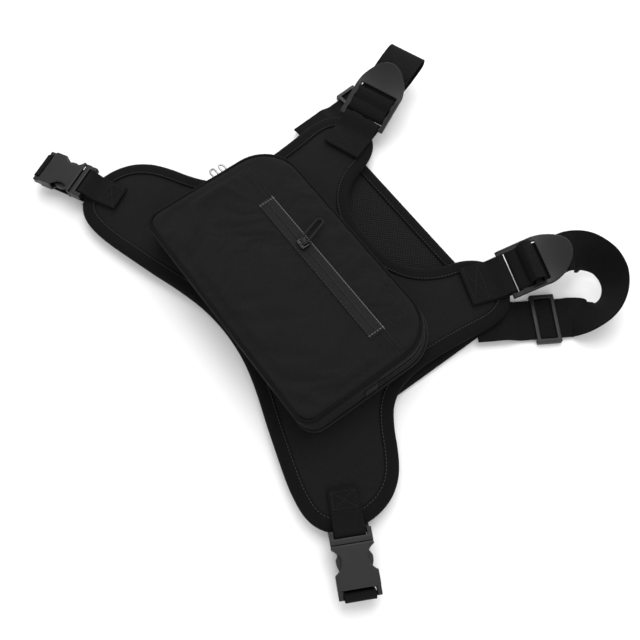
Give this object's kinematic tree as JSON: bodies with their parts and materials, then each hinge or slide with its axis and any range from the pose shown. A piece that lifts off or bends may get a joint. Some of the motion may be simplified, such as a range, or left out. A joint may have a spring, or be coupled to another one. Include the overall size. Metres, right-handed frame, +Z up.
{
  "type": "harness vest",
  "caption": "Chest harness vest lying on its back: padded front panel, mesh back panel, adjustable shoulder and side straps, buckles and a zipped pouch.",
  "frame": {"origin": "middle of the footprint of the vest as it lies on its back, on the ground", "axes": "+Z up out of the pouch face, +Y towards the neck, +X across the chest to the right of someone looking at the pouch"},
  "size_m": [0.5094, 0.3759, 0.056],
  "materials": {
    "face_fabric": "woven",
    "binding_tape": "woven tape",
    "mesh_fabric": "mesh",
    "webbing": "ribbed webbing",
    "zip_tape": "zip tape",
    "plastic": "satin",
    "metal": "satin"
  },
  "bodies": {
    "vest": {"back_panel_shell": "face_fabric", "back_panel_mesh": "mesh_fabric", "back_panel_binding": "binding_tape", "front_panel_lining": "mesh_fabric", "front_panel_face": "face_fabric", "front_panel_binding": "binding_tape", "pouch_back": "face_fabric", "pouch_base_piping": "binding_tape", "pouch_gusset_bottom": "face_fabric", "pouch_gusset_inner": "face_fabric", "main_zip_tape_inner": "zip_tape", "pouch_front_lower": "face_fabric", "pouch_piping_lower": "binding_tape", "zip_garage_left": "face_fabric", "zip_garage_right": "face_fabric", "pocket_bag": "face_fabric", "shoulder_anchor_left": "webbing", "shoulder_anchor_right": "webbing", "shoulder_strap_left": "webbing", "shoulder_strap_right": "webbing", "side_anchor_left": "webbing", "side_anchor_right": "webbing", "side_strap_left": "webbing", "side_strap_right": "webbing", "buckle_plug_left": "plastic", "buckle_plug_right": "plastic"},
    "pouch_lid": {"pouch_front_upper": "face_fabric", "pouch_gusset_outer": "face_fabric", "main_zip_tape_outer": "zip_tape", "pouch_piping_upper": "binding_tape", "pocket_zip_tape": "zip_tape", "pocket_zip_chain": "zip_tape"},
    "pocket_slider": {"pocket_zip_slider": "plastic"},
    "pocket_pull": {"pocket_zip_pull": "webbing"},
    "main_slider_lower": {"main_slider_lower": "metal"},
    "main_slider_upper": {"main_slider_upper": "metal"},
    "main_pull_lower": {"main_pull_lower": "metal"},
    "main_pull_upper": {"main_pull_upper": "metal"},
    "ladder_lock_left": {"ladder_lock_left": "plastic"},
    "ladder_lock_right": {"ladder_lock_right": "plastic"},
    "shoulder_slider_left": {"shoulder_slider_left": "plastic"},
    "shoulder_slider_right": {"shoulder_slider_right": "plastic"},
    "side_slider_left": {"side_slider_left": "plastic"},
    "side_slider_right": {"side_slider_right": "plastic"},
    "buckle_socket_left": {"buckle_socket_left": "plastic"},
    "buckle_socket_right": {"buckle_socket_right": "plastic"},
    "buckle_prong_neck_left": {"buckle_prong_neck_left": "plastic"},
    "buckle_prong_hem_left": {"buckle_prong_hem_left": "plastic"},
    "buckle_prong_neck_right": {"buckle_prong_neck_right": "plastic"},
    "buckle_prong_hem_right": {"buckle_prong_hem_right": "plastic"}
  },
  "joints": [
    {"name": "pouch_lid_fold", "type": "hinge", "parent": "vest", "child": "pouch_lid", "pos_m": [0, -0.0595, 0.0483], "axis": [1, 0, 0], "range_deg": [0, 80]},
    {"name": "pocket_zip_travel", "type": "slide", "parent": "pouch_lid", "child": "pocket_slider", "axis": [1, 0, 0], "range_m": [-0.049, 0.097]},
    {"name": "pocket_pull_flip", "type": "hinge", "parent": "pocket_slider", "child": "pocket_pull", "pos_m": [-0.014, -0.036, 0.05516], "axis": [1, 0, 0], "range_deg": [0, 150]},
    {"name": "main_zip_lower_travel", "type": "slide", "parent": "vest", "child": "main_slider_lower", "axis": [0, 1, 0], "range_m": [-0.0035, 0.0005]},
    {"name": "main_zip_upper_travel", "type": "slide", "parent": "vest", "child": "main_slider_upper", "axis": [0, 1, 0], "range_m": [0, 0.019]},
    {"name": "main_pull_lower_swing", "type": "hinge", "parent": "main_slider_lower", "child": "main_pull_lower", "pos_m": [-0.12615, -0.0515, 0.03185], "axis": [0, 0, 1], "range_deg": [-10, 65]},
    {"name": "main_pull_upper_swing", "type": "hinge", "parent": "main_slider_upper", "child": "main_pull_upper", "pos_m": [-0.12615, -0.042, 0.03185], "axis": [0, 0, 1], "range_deg": [-65, 10]},
    {"name": "ladder_lock_tilt_left", "type": "hinge", "parent": "vest", "child": "ladder_lock_left", "pos_m": [-0.105, 0.1005, 0.01964], "axis": [0.9397, 0.342, 0], "range_deg": [-22, 30], "deforming": ["shoulder_strap_left"]},
    {"name": "ladder_lock_tilt_right", "type": "hinge", "parent": "vest", "child": "ladder_lock_right", "pos_m": [0.105, 0.1005, 0.01964], "axis": [0.9397, -0.342, 0], "range_deg": [-22, 30], "deforming": ["shoulder_strap_right"]},
    {"name": "shoulder_slider_travel_left", "type": "slide", "parent": "vest", "child": "shoulder_slider_left", "axis": [0.0698, -0.9976, 0], "range_m": [-0.006, 0.006]},
    {"name": "shoulder_slider_travel_right", "type": "slide", "parent": "vest", "child": "shoulder_slider_right", "axis": [-0.5299, -0.848, 0], "range_m": [-0.006, 0.006]},
    {"name": "side_slider_travel_left", "type": "slide", "parent": "vest", "child": "side_slider_left", "axis": [-0.887, -0.4617, 0], "range_m": [-0.006, 0.006]},
    {"name": "side_slider_travel_right", "type": "slide", "parent": "vest", "child": "side_slider_right", "axis": [0.887, -0.4617, 0], "range_m": [-0.006, 0.006]},
    {"name": "buckle_release_left", "type": "slide", "parent": "vest", "child": "buckle_socket_left", "axis": [-0.8836, -0.46, -0.0872], "range_m": [0, 0.026], "deforming": ["side_strap_left"]},
    {"name": "buckle_release_right", "type": "slide", "parent": "vest", "child": "buckle_socket_right", "axis": [0.8836, -0.46, -0.0872], "range_m": [0, 0.026], "deforming": ["side_strap_right"]},
    {"name": "prong_squeeze_neck_left", "type": "hinge", "parent": "vest", "child": "buckle_prong_neck_left", "pos_m": [-0.21468, -0.14595, 0.0188], "axis": [-0.0773, -0.0402, 0.9962], "range_deg": [0, 7], "stiffness_Nm_per_rad": 0.4},
    {"name": "prong_squeeze_hem_left", "type": "hinge", "parent": "vest", "child": "buckle_prong_hem_left", "pos_m": [-0.20636, -0.16192, 0.0188], "axis": [0.0773, 0.0402, -0.9962], "range_deg": [0, 7], "stiffness_Nm_per_rad": 0.4},
    {"name": "prong_squeeze_neck_right", "type": "hinge", "parent": "vest", "child": "buckle_prong_neck_right", "pos_m": [0.21468, -0.14595, 0.0188], "axis": [-0.0773, 0.0402, -0.9962], "range_deg": [0, 7], "stiffness_Nm_per_rad": 0.4},
    {"name": "prong_squeeze_hem_right", "type": "hinge", "parent": "vest", "child": "buckle_prong_hem_right", "pos_m": [0.20636, -0.16192, 0.0188], "axis": [0.0773, -0.0402, 0.9962], "range_deg": [0, 7], "stiffness_Nm_per_rad": 0.4}
  ]
}
